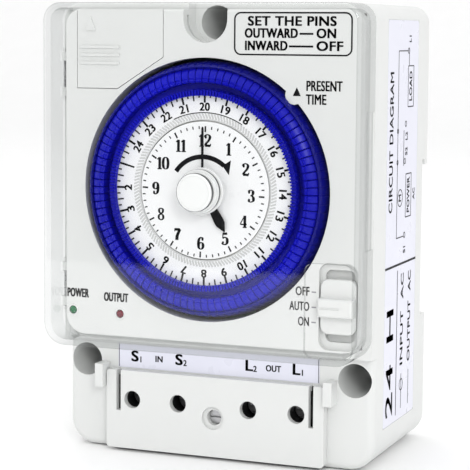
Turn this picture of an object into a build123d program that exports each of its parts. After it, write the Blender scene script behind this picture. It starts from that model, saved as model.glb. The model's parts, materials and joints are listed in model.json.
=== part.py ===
"""A 24-hour mechanical time switch for a wall or a 35 mm rail, as an assembly of separate pieces.

X runs to the right, -Y is the front and Z is up. The origin is the middle of the bottom of the
bounding box, so the switch stands on Z = 0. A "depth" below is a distance behind the front face
of the clear cover, because the switch is built up in layers from there to the wall.
"""
from build123d import *
import math
import os

# ---- driving dimensions, millimetres -------------------------------------------------------
width = 74.0
height = 102.0
total_depth = 54.0
half = width / 2
front_y = -total_depth / 2

# layers, as depths behind the clear cover's front face
panel_depth = 8.0
ledge_depth = 11.0
lower_front_depth = 13.3
terminal_cover_depth = 10.8
plate_depth = 13.6
board_depth = 30.0
board_thickness = 1.6
board_back = board_depth + board_thickness
lamp_board_depth = 13.0

# clear cover
cover_bottom = 25.4
cover_wall = 1.2
panel_gap = 0.25
cover_rear = ledge_depth - 0.2
cover_corner_low = 5.0
cover_corner_high = 4.0
hinge_radius = 0.75
hinge_x = -half + hinge_radius
hinge_depth = 9.85
hinge_pin_radius = 0.4
knuckle_heights = (38.0, 86.0)
knuckle_length = 6.0
lug_length = 2.0
cover_window_middle = (30.5, 37.1)
cover_window_size = (10.6, 20.2)
grip_depth = 0.4

# dial, with its axis a little left of the middle
dial_x = -1.1
dial_z = 60.9
opening_radius = 29.2
ring_radius = 28.8
ring_bore = 21.9
dial_bore = 15.5
bearing_clearance = 0.08
pin_count = 96
pin_pitch = 360 / pin_count
first_pin_angle = 45 + pin_pitch / 2
pin_lift = 0.05
pin_inner = 23.7
pin_length = 3.1
pin_width = 1.2
pin_front = 6.0
trough_floor = 9.0
index_angle = 45.8
index_radius = 2.05
index_reach = 27.8
index_thickness = 1.0
loose_pins = 4

# mounting
rail_height = 35.5
rail_middle = 47.45
rail_depth = 5.3
screw_x = 32.5
screw_z = 20.1
access_radius = 3.8
screw_radius = 2.25
screw_floor = 3.0
slot_z = 98.5
slot_mouth_radius = 5.2
upper_screw_z = 97.8
slot_mouth_depth = 15.0

# terminals
terminal_x = (-19.85, -8.5, 8.5, 19.85)
terminal_z = 12.0
terminal_cover_half = 26.3
terminal_cover_top = 18.6
cover_screw_z = 9.4

# manual switch
switch_x = 30.2
switch_z = 36.9
switch_travel = 3.3
button_size = (8.2, 12.0)
pocket_size = (8.8, 19.0)

# indicator lamps
lamp_radius = 0.85
lamps = {"power_led": (-33.4, 32.3), "output_led": (-21.6, 32.1)}

# labels, walls and the gap left round a loose piece
label_thickness = 0.15
side_label_middle = (front_y + 32.0, 53.45)
side_label_size = (23.9, 90.3)
wall = 2.2
small_gap = 0.15


# ---- helpers --------------------------------------------------------------------------------
def layer(depth, x=0.0, z=0.0):
    """The plane at a depth, facing the front, with its own X to the right and its Y up."""
    return Plane(origin=(x, front_y + depth, z), x_dir=(1, 0, 0), z_dir=(0, -1, 0))


def dial_layer(depth):
    """The same plane, centred on the dial's axis."""
    return layer(depth, dial_x, dial_z)


def polar(radius, angle, centre=(dial_x, dial_z)):
    """A point at a radius and an angle from +X towards +Z."""
    turn = math.radians(angle)
    return centre[0] + radius * math.cos(turn), centre[1] + radius * math.sin(turn)


def finish(builder, name):
    """Label a piece and write it to its own file."""
    builder.part.label = name
    export_step(builder.part, f"parts/{name}.step")


def block(x_span, z_span, depth_span, mode=Mode.ADD):
    """A plain block between two values of X, Z and depth."""
    centre_x = (x_span[0] + x_span[1]) / 2
    centre_z = (z_span[0] + z_span[1]) / 2
    with BuildSketch(layer(depth_span[0], centre_x, centre_z)) as shape:
        Rectangle(x_span[1] - x_span[0], z_span[1] - z_span[0])
    extrude(shape.sketch, amount=depth_span[0] - depth_span[1], mode=mode)


def rod(centre, radius, depth_span, mode=Mode.ADD):
    """A round rod along Y between two depths."""
    with BuildSketch(layer(depth_span[0], centre[0], centre[1])) as shape:
        Circle(radius)
    extrude(shape.sketch, amount=depth_span[0] - depth_span[1], mode=mode)


def tube(centre, outer, inner, depth_span):
    """A round tube along Y between two depths."""
    with BuildSketch(layer(depth_span[0], centre[0], centre[1])) as shape:
        Circle(outer)
        Circle(inner, mode=Mode.SUBTRACT)
    extrude(shape.sketch, amount=depth_span[0] - depth_span[1])


def slab(x_span, z_span, depth_span, low_radius, high_radius, mode=Mode.ADD):
    """A block whose lower and upper corners, seen from the front, have their own radii."""
    centre_x = (x_span[0] + x_span[1]) / 2
    centre_z = (z_span[0] + z_span[1]) / 2
    with BuildSketch(layer(depth_span[0], centre_x, centre_z)) as shape:
        Rectangle(x_span[1] - x_span[0], z_span[1] - z_span[0])
        fillet(shape.vertices().group_by(Axis.Y)[0], radius=low_radius)
        fillet(shape.vertices().group_by(Axis.Y)[-1], radius=high_radius)
    extrude(shape.sketch, amount=depth_span[0] - depth_span[1], mode=mode)


def slot_from_top(radius, depth_span, mode=Mode.SUBTRACT):
    """The U-shaped mouth of the upper screw hole, open at the top."""
    rise = height - slot_z + 1
    with BuildSketch(layer(depth_span[0], dial_x, slot_z)) as shape:
        Circle(radius)
        with Locations((0, rise / 2)):
            Rectangle(2 * radius, rise)
    extrude(shape.sketch, amount=depth_span[0] - depth_span[1], mode=mode)


def toothed_wheel(centre, pitch_radius, teeth, depth_span):
    """A wheel whose tooth tips stay just inside its pitch circle, so that a pair never touches."""
    tip = pitch_radius - small_gap
    pitch_width = 2 * math.pi * tip / teeth
    with BuildSketch(layer(depth_span[0], centre[0], centre[1])) as shape:
        Circle(tip)
        with PolarLocations(tip, teeth):
            Rectangle(1.1 * pitch_width, 0.45 * pitch_width, mode=Mode.SUBTRACT)
    extrude(shape.sketch, amount=depth_span[0] - depth_span[1])


os.makedirs("parts", exist_ok=True)


# ---- base housing ---------------------------------------------------------------------------
cavity_back = total_depth - rail_depth - wall
rail_low = rail_middle - rail_height / 2
rail_high = rail_middle + rail_height / 2
clip_half = 8.0
clip_depth = 49.4
clip_low = 3.4
boss_half = slot_mouth_radius + 1.3
ear_low = 14.7
ear_high = 20.0
ear_depth = 9.2
board_pillars = ((-25.0, 32.0), (25.0, 32.0), (-25.0, 87.0), (25.0, 87.0))
case_screw_x = 31.4
case_screw_z = 79.0

with BuildPart() as base_housing:
    slab((-half, half), (0, height), (ledge_depth, total_depth), 6.0, 4.0)
    back_edges = base_housing.faces().sort_by(Axis.Y)[-1].outer_wire().edges()
    fillet(back_edges, radius=1.5)
    # the lower front is set back behind the panel
    block((-half - 1, half + 1), (-1, cover_bottom - 0.2), (ledge_depth - 1, lower_front_depth),
          Mode.SUBTRACT)
    lower_front = base_housing.faces().filter_by(Axis.Y).group_by(Axis.Z)[0].sort_by(Axis.Y)[0]
    fillet(lower_front.edges().filter_by(Axis.Z), radius=1.8)
    # the room for the movement and the board
    block((-half + wall, half - wall), (27.4, height - wall), (ledge_depth - 1, cavity_back),
          Mode.SUBTRACT)
    block((-half + wall, half - wall), (rail_high + wall, height - wall),
          (ledge_depth, total_depth - 2.5), Mode.SUBTRACT)
    block((-27.0, 27.0), (wall, 28.0), (32.0, clip_depth - 2.0), Mode.SUBTRACT)
    # the solid round the upper screw hole and its open-topped mouth
    block((dial_x - boss_half, dial_x + boss_half), (slot_z - boss_half, height - 1),
          (ledge_depth, total_depth - 1))
    slot_from_top(slot_mouth_radius, (ledge_depth - 1, slot_mouth_depth))
    rod((dial_x, upper_screw_z), access_radius,
        (slot_mouth_depth - 1, total_depth - screw_floor), Mode.SUBTRACT)
    rod((dial_x, upper_screw_z), screw_radius, (total_depth - 4, total_depth + 1), Mode.SUBTRACT)
    # the two lower screw holes, each at the foot of a deep round access hole
    for side in (-1, 1):
        rod((side * screw_x, screw_z), access_radius,
            (lower_front_depth - 1, total_depth - screw_floor), Mode.SUBTRACT)
        rod((side * screw_x, screw_z), screw_radius, (total_depth - 4, total_depth + 1),
            Mode.SUBTRACT)
    # the terminal room, open in front and below
    block((-25.6, 25.6), (-1, terminal_cover_top - 0.4), (lower_front_depth - 1, 29.8),
          Mode.SUBTRACT)
    for place_x in terminal_x:
        block((place_x - 1.9, place_x + 1.9), (4.7, 9.3), (29, 33), Mode.SUBTRACT)
    # the four pillars of the circuit board
    for place in board_pillars:
        rod(place, 2.2, (board_back, cavity_back + 0.5))
    for place in board_pillars[2:]:
        rod(place, 2.2, (cavity_back, total_depth - 2.0))
    for place in board_pillars:
        rod(place, 0.9, (board_back - 1, board_back + 9), Mode.SUBTRACT)
    # the rail recess, with a hook under its upper edge
    block((-half - 1, half + 1), (rail_low, rail_high), (total_depth - rail_depth, total_depth + 1),
          Mode.SUBTRACT)
    block((-half - 1, half + 1), (rail_high - 0.1, rail_high + 1.2),
          (total_depth - rail_depth, total_depth - rail_depth + 2.0), Mode.SUBTRACT)
    # the channel of the rail clip
    block((-clip_half - 0.2, clip_half + 0.2), (-1, rail_low + 1), (clip_depth, total_depth + 1),
          Mode.SUBTRACT)
    # the peg that the clip's spring pushes against
    block((-1.6, 1.6), (clip_low + 7.3, clip_low + 8.1), (clip_depth - 0.5, 52.0))
    # keeper rails that hold the clip in its channel
    for side in (-1, 1):
        inner = side * (clip_half - 1.2)
        outer = side * (clip_half + 0.5)
        block((min(inner, outer), max(inner, outer)), (12.0, 26.0),
              (total_depth - 1.2, total_depth))
    # ears beside the top of the terminal cover
    for side in (-1, 1):
        inner = side * (terminal_cover_half + 0.25)
        outer = side * (terminal_cover_half + 2.25)
        block((min(inner, outer), max(inner, outer)), (ear_low, ear_high),
              (ear_depth, lower_front_depth + 0.5))
    # screw holes behind, for the panel's two bosses
    for side in (-1, 1):
        rod((side * case_screw_x, case_screw_z), 1.7, (total_depth - 3, total_depth + 1),
            Mode.SUBTRACT)
        rod((side * case_screw_x, case_screw_z), 2.9, (total_depth - 1.6, total_depth + 1),
            Mode.SUBTRACT)
    # the label's shallow bed on the right side
    with BuildSketch(Plane.YZ.offset(half - label_thickness)):
        with Locations(side_label_middle):
            Rectangle(side_label_size[0] + 0.2, side_label_size[1] + 0.2)
    extrude(amount=1, mode=Mode.SUBTRACT)
finish(base_housing, "base_housing")


# ---- front panel ----------------------------------------------------------------------------
panel_left = -half + 2 * hinge_radius + 0.2
panel_right = half - cover_wall - panel_gap
panel_low = cover_bottom + cover_wall + panel_gap
panel_high = height - cover_wall - panel_gap
door_left = -32.2
door_right = -11.2
door_middle = (door_left + door_right) / 2
door_outline = ((door_left, panel_high), (door_left, 83.0), (-22.3, 83.0), (door_right, 90.1),
                (door_right, panel_high))
door_thickness = 1.5
cup_floor = 18.0
battery_centre = (-24.0, 91.3)
battery_radius = 6.2
movement_posts = ((-26.6, 79.9), (24.8, 79.6), (-27.0, 38.5))


def door_shape(gap, top=height):
    """The battery door's outline, drawn in or out by a gap and cut off level at a top."""
    with BuildSketch(mode=Mode.PRIVATE) as shape:
        with BuildLine():
            Polyline(*door_outline, close=True)
        make_face()
        offset(amount=gap, kind=Kind.INTERSECTION)
        with Locations((door_middle, top + 5)):
            Rectangle(30, 10, mode=Mode.SUBTRACT)
    return shape.sketch


with BuildPart() as front_panel:
    slab((panel_left, panel_right), (panel_low, panel_high), (panel_depth, ledge_depth), 4.6, 3.6)
    fillet(front_panel.faces().sort_by(Axis.Y)[0].outer_wire().edges(), radius=0.5)
    slab((panel_left + 1.2, panel_right - 1.2), (panel_low + 1.2, panel_high - 1.2),
         (panel_depth + 2.0, ledge_depth + 0.5), 3.4, 2.4, Mode.SUBTRACT)
    # the round opening for the dial, with a collar behind it
    tube((dial_x, dial_z), opening_radius + 1.0, opening_radius, (panel_depth + 1, ledge_depth + 1))
    rod((dial_x, dial_z), opening_radius, (panel_depth - 1, ledge_depth + 1.5), Mode.SUBTRACT)
    # the rounded tongue that marks the present time
    with BuildSketch(dial_layer(panel_depth)):
        with Locations(polar(index_reach + index_radius, index_angle, (0, 0))):
            Circle(index_radius)
        Circle(index_reach - 1, mode=Mode.SUBTRACT)
    extrude(amount=-index_thickness)
    # the battery cup and the opening of its door
    with BuildSketch(layer(panel_depth + door_thickness)):
        add(door_shape(0.3, 99.6))
    extrude(amount=panel_depth + door_thickness - cup_floor - 1.0)
    with BuildSketch(layer(panel_depth - 1)):
        add(door_shape(small_gap))
        with Locations((door_middle, panel_high)):
            Rectangle(door_right - door_left + 2 * small_gap, 2)
    extrude(amount=-1 - door_thickness, mode=Mode.SUBTRACT)
    with BuildSketch(layer(panel_depth + door_thickness - 0.1)):
        add(door_shape(-1.1, 98.5))
    extrude(amount=panel_depth + door_thickness - cup_floor - 0.1, mode=Mode.SUBTRACT)
    block((battery_centre[0] + 2.8, battery_centre[0] + 4.8),
          (battery_centre[1] - 1.0, battery_centre[1] + 1.0), (cup_floor - 1, cup_floor + 2),
          Mode.SUBTRACT)
    # the mouth of the upper screw hole
    slot_from_top(slot_mouth_radius, (panel_depth - 1, ledge_depth + 1))
    # the stepped pocket of the manual switch
    for size, floor, corner in ((pocket_size, 9.6, 2.2), ((6.7, 15.8), 11.0, 1.4)):
        with BuildSketch(layer(panel_depth + 1.6, switch_x, switch_z)):
            RectangleRounded(size[0] + 0.8, size[1] + 0.8, corner)
        extrude(amount=panel_depth + 1.6 - floor - 1.2)
        with BuildSketch(layer(panel_depth - 1, switch_x, switch_z)):
            RectangleRounded(size[0], size[1], corner)
        extrude(amount=panel_depth - 1 - floor, mode=Mode.SUBTRACT)
    with BuildSketch(layer(panel_depth, switch_x, switch_z)):
        SlotOverall(9.6, 2.8, rotation=90)
    extrude(amount=-6, mode=Mode.SUBTRACT)
    # lamp holes
    for place in lamps.values():
        rod(place, lamp_radius + 0.1, (panel_depth - 1, ledge_depth), Mode.SUBTRACT)
    # posts for the movement plate, bosses for the case screws
    rod((-27.5, 31.8), 1.2, (panel_depth + 1.9, lamp_board_depth))
    for post in movement_posts:
        rod(post, 2.0, (panel_depth + 1.9, plate_depth))
        rod(post, 0.7, (panel_depth + 3, plate_depth + 1), Mode.SUBTRACT)
    rod((dial_x, dial_z), opening_radius, (panel_depth + index_thickness, plate_depth + 1),
        Mode.SUBTRACT)
    for side in (-1, 1):
        rod((side * case_screw_x, case_screw_z), 2.6, (panel_depth + 1.9, total_depth - 3.1))
        rod((side * case_screw_x, case_screw_z), 1.1, (30, total_depth), Mode.SUBTRACT)
    # snap tabs that locate the panel in the housing's mouth
    for place in ((-25.0, 28.2), (0.0, 28.2), (20.0, 98.9)):
        block((place[0] - 4, place[0] + 4), (place[1] - 0.6, place[1] + 0.6),
              (ledge_depth - 1, ledge_depth + 4))
    # hinge lugs, two for each knuckle of the cover
    for middle in knuckle_heights:
        for side in (-1, 1):
            low = middle + side * (knuckle_length + lug_length) / 2 - lug_length / 2
            block((hinge_x, panel_left + 0.5), (low, low + lug_length),
                  (hinge_depth - hinge_radius, hinge_depth + hinge_radius))
            with BuildSketch(Plane.XY.offset(low)):
                with Locations((hinge_x, front_y + hinge_depth)):
                    Circle(hinge_radius)
            extrude(amount=lug_length)
        with BuildSketch(Plane.XY.offset(middle - knuckle_length)):
            with Locations((hinge_x, front_y + hinge_depth)):
                Circle(hinge_pin_radius)
        extrude(amount=2 * knuckle_length, mode=Mode.SUBTRACT)
finish(front_panel, "front_panel")


# ---- clear cover and its hinge pins ---------------------------------------------------------
with BuildPart() as clear_cover:
    slab((-half, half), (cover_bottom, height), (0, cover_rear), cover_corner_low,
         cover_corner_high)
    fillet(clear_cover.faces().sort_by(Axis.Y)[0].outer_wire().edges(), radius=1.0)
    slab((-half + 2 * hinge_radius, half - cover_wall), (cover_bottom + cover_wall,
         height - cover_wall), (cover_wall, cover_rear + 1), cover_corner_low - cover_wall,
         cover_corner_high - cover_wall, Mode.SUBTRACT)
    # the left wall ends in a round bead about the hinge axis
    block((-half - 1, hinge_x + hinge_radius + 0.1), (cover_bottom - 1, height + 1),
          (hinge_depth, cover_rear + 1), Mode.SUBTRACT)
    with BuildSketch(Plane.XY.offset(cover_bottom + 6)):
        with Locations((hinge_x, front_y + hinge_depth)):
            Circle(hinge_radius)
    extrude(amount=height - cover_bottom - 11)
    for middle in knuckle_heights:
        for side in (-1, 1):
            centre = middle + side * (knuckle_length + lug_length) / 2
            block((-half - 1, hinge_x + hinge_radius + 0.2),
                  (centre - lug_length / 2 - 0.1, centre + lug_length / 2 + 0.1),
                  (hinge_depth - hinge_radius - 0.35, cover_rear + 1), Mode.SUBTRACT)
        with BuildSketch(Plane.XY.offset(middle - knuckle_length)):
            with Locations((hinge_x, front_y + hinge_depth)):
                Circle(hinge_pin_radius + 0.06)
        extrude(amount=2 * knuckle_length, mode=Mode.SUBTRACT)
    # the opening that keeps the manual switch in reach while the cover is shut
    with BuildSketch(layer(-1, *cover_window_middle)):
        RectangleRounded(cover_window_size[0], cover_window_size[1], 1.8)
    extrude(amount=-1 - cover_wall - 0.2, mode=Mode.SUBTRACT)
    # a shallow finger grip on the opening side
    block((half - grip_depth, half + 1), (49.5, 79.0), (6.0, cover_rear + 1), Mode.SUBTRACT)
finish(clear_cover, "clear_cover")

with BuildPart() as cover_hinge_pins:
    for middle in knuckle_heights:
        with BuildSketch(Plane.XY.offset(middle - knuckle_length / 2 - lug_length)):
            with Locations((hinge_x, front_y + hinge_depth)):
                Circle(hinge_pin_radius)
        extrude(amount=knuckle_length + 2 * lug_length)
finish(cover_hinge_pins, "cover_hinge_pins")


# ---- battery, its door and its contacts -----------------------------------------------------
rib_heights = (92.2, 90.4, 88.6)

with BuildPart() as battery_door:
    with BuildSketch(layer(panel_depth)):
        add(door_shape(0))
    extrude(amount=-door_thickness + 0.05)
    for height_of_rib in rib_heights:
        block((-31.5, -21.8), (height_of_rib - 0.3, height_of_rib + 0.3),
              (panel_depth - 0.35, panel_depth + 0.1))
    with BuildSketch(layer(panel_depth)):
        with Locations((-28.9, 96.9)):
            Triangle(a=2.6, b=3.4, c=3.4)
    extrude(amount=0.3)
finish(battery_door, "battery_door")

with BuildPart() as backup_battery:
    rod(battery_centre, battery_radius, (11.5, 17.1))
    front_edge = backup_battery.edges().group_by(Axis.Y)[0]
    fillet(front_edge, radius=0.6)
    rod(battery_centre, 3.6, (17.1, 17.7))
finish(backup_battery, "backup_battery")

with BuildPart() as battery_contact_back:
    block((battery_centre[0] - 5.4, battery_centre[0] + 5.4),
          (battery_centre[1] - 1.6, battery_centre[1] + 1.6), (17.7, cup_floor))
    block((battery_centre[0] + 3.0, battery_centre[0] + 4.6),
          (battery_centre[1] - 0.8, battery_centre[1] + 0.8), (cup_floor, 22.0))
finish(battery_contact_back, "battery_contact_back")

with BuildPart() as battery_contact_side:
    block((-31.0, -30.7), (battery_centre[1] - 1.8, battery_centre[1] + 1.8), (11.2, 17.2))
    block((-30.7, -30.25), (battery_centre[1] - 1.8, battery_centre[1] + 1.8), (13.0, 14.2))
finish(battery_contact_side, "battery_contact_side")


# ---- 24-hour dial, pin ring and time pins ---------------------------------------------------
dial_teeth = 96
dial_gear_radius = 18.6

with BuildPart() as dial_disc:
    tube((dial_x, dial_z), ring_bore, dial_bore, (panel_depth, panel_depth + 1.6))
    tube((dial_x, dial_z), dial_gear_radius - 1.6, dial_bore, (panel_depth + 1.6, 12.6))
    with BuildSketch(dial_layer(11.0)):
        Circle(dial_gear_radius - small_gap)
        with PolarLocations(dial_gear_radius - small_gap, dial_teeth):
            Rectangle(1.2, 0.55, mode=Mode.SUBTRACT)
        Circle(dial_gear_radius - 2.0, mode=Mode.SUBTRACT)
    extrude(amount=-1.6)
finish(dial_disc, "dial_disc")

ring_profile = ((ring_bore, 12.4), (ring_bore, 7.3), (20.9, 7.3), (20.9, 6.3), (21.2, 6.0),
                (22.2, 6.0), (22.2, trough_floor), (27.0, trough_floor), (27.0, 7.2), (27.4, 7.4),
                (27.6, 9.5), (ring_radius, 9.7), (ring_radius, 12.4))

with BuildPart() as pin_ring:
    with BuildSketch(Plane(origin=(dial_x, front_y, dial_z), x_dir=(1, 0, 0), z_dir=(0, 0, 1))):
        with BuildLine():
            Polyline(*ring_profile, close=True)
        make_face()
    revolve(axis=Axis((dial_x, 0, dial_z), (0, 1, 0)), revolution_arc=360)
finish(pin_ring, "pin_ring")


def time_pin(index):
    """One captive time pin in its outer place, counted from the present-time index."""
    angle = first_pin_angle + index * pin_pitch
    middle = polar(pin_inner + pin_length / 2, angle)
    with BuildSketch(layer(pin_front, middle[0], middle[1])) as shape:
        Rectangle(pin_length, pin_width, rotation=angle)
    extrude(shape.sketch, amount=pin_front - trough_floor + pin_lift)


with BuildPart() as time_pins:
    for number in range(loose_pins, pin_count):
        time_pin(number)
finish(time_pins, "time_pins")

for number in range(loose_pins):
    with BuildPart() as loose_pin:
        time_pin(number)
    finish(loose_pin, f"time_pin_{number + 1}")


# ---- 12-hour clock: face, hands and setting knob --------------------------------------------
with BuildPart() as clock_face:
    rod((dial_x, dial_z), dial_bore - 0.3, (panel_depth, panel_depth + 0.8))
    rod((dial_x, dial_z), 2.6, (panel_depth - 1, panel_depth + 2), Mode.SUBTRACT)
finish(clock_face, "clock_face")

hour_angle = -60
hour_depths = (7.2, 7.5)

with BuildPart() as hour_hand:
    tube((dial_x, dial_z), 2.3, 1.5, hour_depths)
    with BuildSketch(dial_layer(hour_depths[0])):
        with BuildLine():
            Polyline(*[polar(radius, hour_angle + turn, (0, 0)) for radius, turn in
                       ((2.1, 26.5), (8.36, 6.9), (10.3, 0), (8.36, -6.9), (2.1, -26.5))],
                     close=True)
        make_face()
    extrude(amount=hour_depths[0] - hour_depths[1])
finish(hour_hand, "hour_hand")

with BuildPart() as minute_hand:
    tube((dial_x, dial_z), 2.0, 0.9, (6.7, 6.9))
    block((dial_x - 0.2, dial_x + 0.2), (dial_z + 1.8, dial_z + 14.1), (6.7, 6.9))
finish(minute_hand, "minute_hand")

knob_steps = ((5.25, 5.6, 6.4), (4.85, 4.4, 5.6), (4.5, 3.4, 4.4), (4.3, 1.8, 3.4))

with BuildPart() as setting_knob:
    for radius, front, back in knob_steps:
        rod((dial_x, dial_z), radius, (front, back))
    knob_rim = setting_knob.faces().sort_by(Axis.Y)[0].edges()
    fillet(knob_rim, radius=0.35)
    rod((dial_x, dial_z), 1.6, (6.4, 6.7))
    rod((dial_x, dial_z), 0.8, (5.0, 6.8), Mode.SUBTRACT)
finish(setting_knob, "setting_knob")


# ---- movement: arbors, wheels and plates ----------------------------------------------------
# Each wheel train runs between the two plates. Centres are worked out from pitch radii.
dial_wheel_centre = polar(20.1, 135)
motion_centre = polar(21.625, 225)
third_centre = polar(13.6, -20)
second_centre = polar(11.25, 60, third_centre)
rotor_centre = polar(10.5, 60, second_centre)
centre_point = (dial_x, dial_z)
back_plate_depth = 25.2
plate_thickness = 1.4
arbor_radius = 0.6
arbor_clearance = 0.06
arbor_front = plate_depth + 0.1
arbor_back = back_plate_depth + plate_thickness - 0.1

with BuildPart() as minute_arbor:
    rod(centre_point, 0.8, (5.0, arbor_back))
    toothed_wheel(centre_point, 5.406, 20, (17.4, 18.4))
finish(minute_arbor, "minute_arbor")

with BuildPart() as centre_wheel:
    toothed_wheel(centre_point, 12.0, 60, (19.4, 20.2))
    rod(centre_point, 0.8, (19, 21), Mode.SUBTRACT)
finish(centre_wheel, "centre_wheel")

with BuildPart() as clutch_spring:
    tube(centre_point, 2.6, 0.8, (20.2, 20.5))
finish(clutch_spring, "clutch_spring")

with BuildPart() as hour_tube:
    rod(centre_point, 1.5, (7.2, 15.6))
    toothed_wheel(centre_point, 17.3, 80, (15.6, 16.8))
    rod(centre_point, 0.88, (7, 17), Mode.SUBTRACT)
finish(hour_tube, "hour_tube")

with BuildPart() as motion_wheel:
    rod(motion_centre, arbor_radius, (arbor_front, arbor_back))
    toothed_wheel(motion_centre, 4.325, 20, (15.6, 17.4))
    toothed_wheel(motion_centre, 16.219, 60, (17.4, 18.4))
finish(motion_wheel, "motion_wheel")

with BuildPart() as dial_drive_wheel:
    rod(dial_wheel_centre, arbor_radius, (10.8, arbor_back))
    toothed_wheel(dial_wheel_centre, 1.5, 8, (11.0, 12.8))
    toothed_wheel(dial_wheel_centre, 2.8, 13, (15.4, 17.0))
finish(dial_drive_wheel, "dial_drive_wheel")

with BuildPart() as third_wheel:
    rod(third_centre, arbor_radius, (18.8, arbor_back))
    toothed_wheel(third_centre, 1.6, 8, (19.4, 21.0))
    toothed_wheel(third_centre, 10.0, 64, (21.0, 21.8))
finish(third_wheel, "third_wheel")

with BuildPart() as second_wheel:
    rod(second_centre, arbor_radius, (arbor_front, arbor_back))
    toothed_wheel(second_centre, 1.25, 8, (21.0, 22.6))
    toothed_wheel(second_centre, 9.0, 60, (22.6, 23.4))
finish(second_wheel, "second_wheel")

with BuildPart() as motor_rotor:
    rod(rotor_centre, arbor_radius, (arbor_front, arbor_back))
    toothed_wheel(rotor_centre, 1.5, 10, (22.6, 23.5))
    rod(rotor_centre, 2.6, (23.5, 24.9))
finish(motor_rotor, "motor_rotor")

with BuildPart() as motor_stator:
    block((11.4, 28.4), (rotor_centre[1] - 4.2, 90.0), (23.7, 24.7))
    rod(rotor_centre, 3.0, (23, 26), Mode.SUBTRACT)
    block((14.8, 25.4), (80.6, 86.6), (23, 26), Mode.SUBTRACT)
finish(motor_stator, "motor_stator")

with BuildPart() as motor_coil:
    with BuildSketch(Plane.YZ.offset(15.0)):
        with Locations((front_y + 24.2, 88.3)):
            Circle(3.3)
            Rectangle(1.0, 3.4, mode=Mode.SUBTRACT)
    extrude(amount=10.2)
finish(motor_coil, "motor_coil")


def plate_outline():
    """The outline shared by both movement plates."""
    Polyline((-28.6, 36.0), (8.0, 36.0), (8.0, 50.0), (26.4, 52.0), (26.4, 81.6), (-28.6, 81.6),
             close=True)


arbor_places = (motion_centre, third_centre, second_centre, rotor_centre, dial_wheel_centre)

with BuildPart() as movement_front_plate:
    with BuildSketch(layer(plate_depth)):
        with BuildLine():
            plate_outline()
        make_face()
    extrude(amount=-plate_thickness)
    # the fixed collar that the dial turns on and that carries the clock face
    tube(centre_point, dial_bore - bearing_clearance, 13.4, (panel_depth + 0.8, plate_depth))
    tube(centre_point, 13.4, 2.6, (panel_depth + 0.8, panel_depth + 1.8))
    rod(centre_point, 1.58, (panel_depth, 20), Mode.SUBTRACT)
    for place in arbor_places:
        rod(place, arbor_radius + arbor_clearance, (plate_depth - 1, plate_depth + 2),
            Mode.SUBTRACT)
    for post in movement_posts:
        rod(post, 0.9, (plate_depth - 1, plate_depth + 2), Mode.SUBTRACT)
    # pillars that carry the back plate
    for place in ((-20.6, 79.4), (-26.4, 66.5), (5.6, 38.6), (24.2, 54.4)):
        rod(place, 1.8, (plate_depth + plate_thickness, back_plate_depth))
finish(movement_front_plate, "movement_front_plate")

with BuildPart() as movement_back_plate:
    with BuildSketch(layer(back_plate_depth)):
        with BuildLine():
            plate_outline()
        make_face()
    extrude(amount=-plate_thickness)
    rod(centre_point, 0.8 + arbor_clearance, (25, 28), Mode.SUBTRACT)
    for place in arbor_places:
        rod(place, arbor_radius + arbor_clearance, (25, 28), Mode.SUBTRACT)
finish(movement_back_plate, "movement_back_plate")


# ---- switching: follower, microswitch, manual slider ----------------------------------------
follower_pivot = (31.0, 48.5)
follower_nose = polar(25.2, -38)

with BuildPart() as follower_lever:
    tube(follower_pivot, 1.8, 0.86, (13.4, 15.2))
    with BuildSketch(layer(13.4)):
        with BuildLine():
            Polyline((29.6, 47.8), (18.6, 43.2), (17.4, 46.0), (19.0, 47.0), (30.4, 50.1), close=True)
        make_face()
    extrude(amount=-1.4)
    rod(follower_pivot, 0.86, (13, 16), Mode.SUBTRACT)
    rod(follower_nose, 0.8, (12.7, 13.4))
finish(follower_lever, "follower_lever")

with BuildPart() as follower_post:
    rod(follower_pivot, 0.8, (panel_depth + 2.0, 19.5))
    rod(follower_pivot, 1.6, (15.4, 19.5))
finish(follower_post, "follower_post")

with BuildPart() as microswitch:
    block((8.6, 26.2), (31.4, 37.8), (15.0, 24.8))
    block((17.6, 19.8), (37.8, 39.4), (16.0, 18.0))
    for leg_x in (10.4, 17.4, 24.4):
        block((leg_x - 0.9, leg_x + 0.9), (34.2, 34.8), (24.8, board_depth))
finish(microswitch, "microswitch")

with BuildPart() as manual_slider:
    with BuildSketch(layer(panel_depth - 0.1, switch_x, switch_z)):
        RectangleRounded(button_size[0], button_size[1], 1.9)
    extrude(amount=-1.6)
    front_rim = manual_slider.faces().sort_by(Axis.Y)[0].edges()
    fillet(front_rim, radius=0.5)
    with BuildSketch(layer(5.4, switch_x, switch_z)):
        Rectangle(button_size[0] - 0.3, 4.0)
    extrude(amount=-2.8)
    ridge_rim = manual_slider.faces().sort_by(Axis.Y)[0].edges()
    fillet(ridge_rim, radius=0.6)
    block((switch_x - 5, switch_x + 1.0), (switch_z - 0.25, switch_z + 0.25), (5.0, 5.65),
          Mode.SUBTRACT)
    # the neck that reaches back through the pocket's slot to the switch
    block((switch_x - 1.0, switch_x + 1.0), (switch_z - 1.0, switch_z + 1.0), (9.4, 17.4))
finish(manual_slider, "manual_slider")

with BuildPart() as mode_switch:
    block((26.8, 33.6), (30.4, 43.4), (16.0, 20.4))
    block((switch_x - 1.4, switch_x + 1.4), (switch_z - 4.9, switch_z + 4.9), (15.9, 18.0),
          Mode.SUBTRACT)
    for leg_z in (33.0, 36.9, 40.8):
        block((27.2, 27.8), (leg_z - 0.4, leg_z + 0.4), (20.4, board_depth))
finish(mode_switch, "mode_switch")


# ---- lamps ----------------------------------------------------------------------------------
for lamp_name, lamp_place in lamps.items():
    with BuildPart() as lamp:
        rod(lamp_place, lamp_radius, (panel_depth - 0.25, 13.0))
        lamp_tip = lamp.faces().sort_by(Axis.Y)[0].edges()
        fillet(lamp_tip, radius=0.4)
    finish(lamp, lamp_name)

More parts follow.
